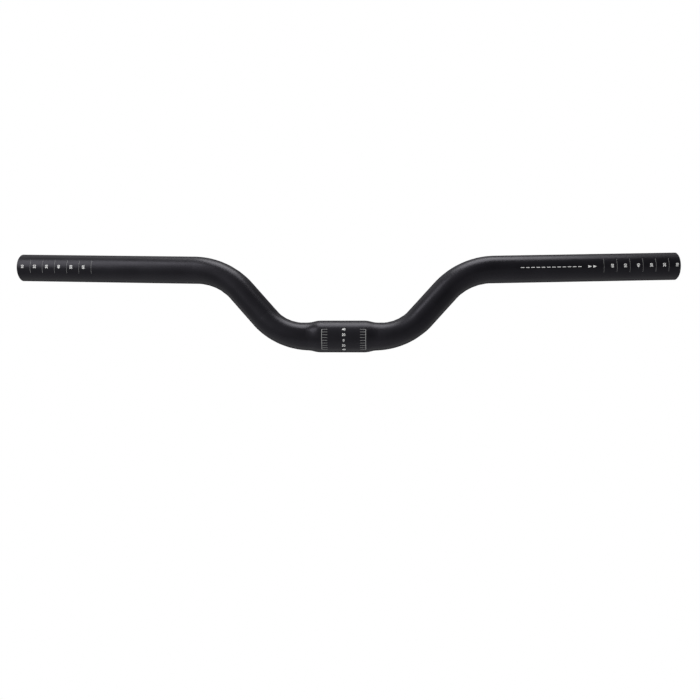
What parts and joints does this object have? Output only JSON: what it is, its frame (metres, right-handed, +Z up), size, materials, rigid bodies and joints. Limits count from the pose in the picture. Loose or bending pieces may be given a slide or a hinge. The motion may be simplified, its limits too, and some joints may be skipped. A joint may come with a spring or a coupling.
{
  "type": "riser handlebar",
  "caption": "Bicycle riser handlebar bent from one black aluminium tube, fat at the stem clamp, with arms that rise to swept-back grips and open ends.",
  "frame": {"origin": "middle of the stem clamp, on the clamp's axis", "axes": "+X along the clamp's axis to the rider's left, +Y back towards the rider, the way the grips are swept, +Z up"},
  "size_m": [0.542, 0.0446, 0.0837],
  "materials": {
    "black_tube": "satin black, fine grain",
    "white_print": "thin off-white ink, printed on the black"
  },
  "bodies": {
    "root": {"handlebar": "black_tube"}
  },
  "joints": []
}
